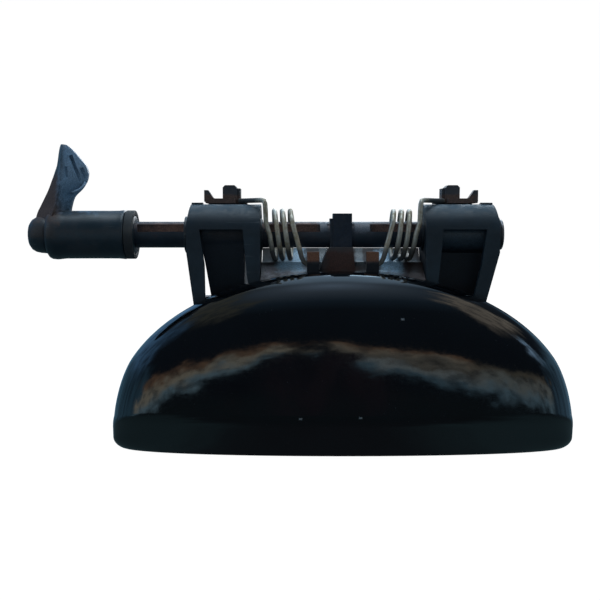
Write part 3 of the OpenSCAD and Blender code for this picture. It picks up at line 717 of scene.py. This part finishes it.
# Blade at rising heights: z, then x of its outer edge, ridge and inner edge, then their y
BLADE = [
    (4.0, -106.4, -99.6, -95.2, -1.0, -6.2, 2.5), (7.6, -105.7, -98.8, -94.8, 0.4, -5.6, 2.6),
    (9.8, -104.7, -98.2, -94.5, 0.8, -4.8, 2.8), (13.2, -103.0, -97.5, -93.4, 1.0, -4.2, 3.0),
    (15.8, -101.8, -97.0, -90.9, 1.2, -3.9, 3.2), (18.2, -100.9, -96.7, -89.3, 1.3, -3.6, 3.4),
    (20.2, -100.1, -96.6, -88.7, 1.3, -3.4, 3.6), (21.9, -99.5, -96.6, -88.6, 1.3, -3.3, 3.6),
    (23.8, -98.8, -96.5, -89.2, 1.2, -3.1, 3.4), (26.2, -98.3, -96.4, -91.0, 1.0, -2.8, 3.0),
    (28.4, -97.9, -96.3, -92.7, 0.8, -2.5, 2.4), (30.0, -97.5, -96.2, -94.1, 0.6, -2.1, 1.6),
    (31.0, -97.0, -96.1, -95.2, 0.2, -1.6, 0.9),
]
# x and y of the inner face at its ridge and at its inner edge, where the cuts are
BLADE_FACE = ((-96.6, -3.4), (-88.7, 3.5))
# The rod's slot and two pockets: x, z, tilt in degrees, length, width, depth
BLADE_CUTS = [
    (-92.0, 21.9, 19, 11.6, 1.1, 2.8), (-90.0, 21.6, 20, 3.4, 1.2, 1.6), (-94.6, 21.6, 4, 3.6, 1.2, 1.1),
]
# (x, radius) of the lever's hub and of its end cap
HUB_PROFILE = [
    (-101.6, 5.0), (-101.4, 7.4), (-100.9, 8.1), (-100.2, 8.45), (-98.6, 8.62), (-97.0, 8.45),
    (-95.6, 8.3), (-90, 8.28), (-80, 8.28), (-77.2, 8.3), (-76.0, 8.4), (-75.2, 8.5), (-74.7, 8.42),
    (-74.6, 7.6), (-74.6, 6.5), (-71.6, 6.4), (-71.5, 6.2), (-71.5, 4.7),
]
CAP_PROFILE = [
    (-108.3, 0.4), (-108.25, 2.6), (-107.9, 4.2), (-107.1, 5.3), (-105.9, 6.0), (-104.2, 6.35),
    (-102.4, 6.5), (-101.2, 6.55), (-101.0, 6.0),
]
LIP_R = 0.55
LIP_CURL = [(-89.4, 2.9, 18.1), (-90.2, 1.8, 16.4), (-91.6, 0.4, 15.2), (-93.2, -0.9, 14.4)]


def smooth_rows(rows, steps):
    """Catmull-Rom rows between the given ones."""
    full = []
    for i in range(len(rows) - 1):
        a, b, c, d = rows[max(i - 1, 0)], rows[i], rows[i + 1], rows[min(i + 2, len(rows) - 1)]
        for s in range(steps):
            t = s / steps
            full.append([0.5 * (2 * q + (r - p) * t + (2 * p - 5 * q + 4 * r - w) * t * t
                                + (3 * q - p - 3 * r + w) * t ** 3) for p, q, r, w in zip(a, b, c, d)])
    return full + [list(rows[-1])]


def make_blade():
    """Angled blade: a dark outer band and a wider inner face that meet at a ridge, hollow behind."""
    wall, verts = 2.2, []
    rows = smooth_rows(BLADE, 4)
    for z, x_out, x_ridge, x_in, y_out, y_ridge, y_in in rows:
        thick = min(wall, (x_in - x_out) * 0.42)
        section = []
        for x0, y0, x1, y1, count, curve in ((x_out, y_out, x_ridge, y_ridge, 4, 0.0),
                                             (x_ridge, y_ridge, x_in, y_in, 8, 0.45)):
            for i in range(count):
                t = i / count
                sag = curve * math.sin(math.pi * t) * min(1.0, (x_in - x_out) / 8)
                section.append((x0 + (x1 - x0) * t, y0 + (y1 - y0) * t + sag))
        section.append((x_in, y_in))
        back = [(x_in - 0.1, y_in + thick), (x_ridge + 0.3, y_ridge + thick * 1.5),
                (x_out + 0.1, y_out + thick)]
        verts += [at(x, y, z) for x, y in section + back]
    faces = tube_faces(len(rows), len(verts) // len(rows))
    blade = mesh_object("lever_blade", verts, faces, "lever_plastic", "shaft", "lever_plastic")
    cutters = []
    for x, z, tilt, length, width, depth in BLADE_CUTS:
        mesh = bpy.data.meshes.new("cutter")
        bm = bmesh.new()
        bmesh.ops.create_cube(bm, size=1)
        bm.to_mesh(mesh)
        bm.free()
        cutter = bpy.data.objects.new("cutter", mesh)
        bpy.context.scene.collection.objects.link(cutter)
        (ridge_x, ridge_y), (edge_x, edge_y) = BLADE_FACE
        share = (x - ridge_x) / (edge_x - ridge_x)
        cutter.location = at(x, ridge_y + (edge_y - ridge_y) * share, z)
        cutter.scale = (width * MM, depth * MM, length * MM)
        cutter.rotation_euler = (0, -math.radians(tilt), 0)
        cut = blade.modifiers.new("cut", "BOOLEAN")
        cut.object = cutter
        cut.solver = "EXACT"
        cutters.append(cutter)
    apply_modifiers(blade)
    for cutter in cutters:
        bpy.data.objects.remove(cutter)
    round_edges(blade, 0.5, 3, 38)
    even_normals(blade)
    return blade


def make_lever():
    def lever_piece(name, shape):
        return mesh_object(name, *shape, "lever_plastic", "shaft", "lever_plastic")

    hub = lever_piece("lever_hub", lathe(HUB_PROFILE))
    lip = lever_piece("lever_lip", sweep([at(*p) for p in LIP_CURL], LIP_R * MM, 10))
    for piece in (hub, make_blade(), lip):
        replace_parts(piece, "release_lever")
    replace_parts(lever_piece("hub_cap", lathe(CAP_PROFILE)), "hub_end_cap")


# ---------------------------------------------------------------- carried-over CAD nodes

CAD_FINISH = {
    "flap_carrier": ("carrier_plastic", 0.35),
    "left_hinge_arm": ("slate_plastic", 0.45),
    "right_hinge_arm": ("slate_plastic", 0.45),
    "finger_liner": ("liner_plastic", 0.3),
    "cover_screws": ("zinc_steel", 0.15),
    "arm_screws": ("zinc_steel", 0.15),
    "mounting_frame": ("frame_plastic", 0.35),
    "left_bearing_bush": ("bush_plastic", 0.2),
    "right_bearing_bush": ("bush_plastic", 0.2),
    "threaded_inserts": ("insert_brass", 0.2),
    "frame_gasket": ("seal_rubber", 0.1),
    "stop_buffers": ("seal_rubber", 0.4),
    "drive_shaft": ("shaft_plastic", 0.25),
    "hub_retaining_ring": ("ring_plastic", 0.25),
    "lever_pin": ("zinc_steel", 0.3),
    "shaft_end_clip": ("clip_steel", 0.15),
    "left_thrust_washer": ("washer_nylon", 0.15),
    "right_thrust_washer": ("washer_nylon", 0.15),
}


def finish_cad_nodes():
    for name, (material, bevel_mm) in CAD_FINISH.items():
        node = NODES[name]
        node.data.materials.clear()
        node.data.materials.append(M[material])
        for polygon in node.data.polygons:
            polygon.use_smooth = True
        weld = node.modifiers.new("weld", "WELD")
        weld.merge_threshold = 2e-6
        round_edges(node, bevel_mm, 2, 35)
        even_normals(node)


make_camera()
make_stage()
make_world()
make_lights([make_flap_cover()])
make_springs()
make_lever()
finish_cad_nodes()
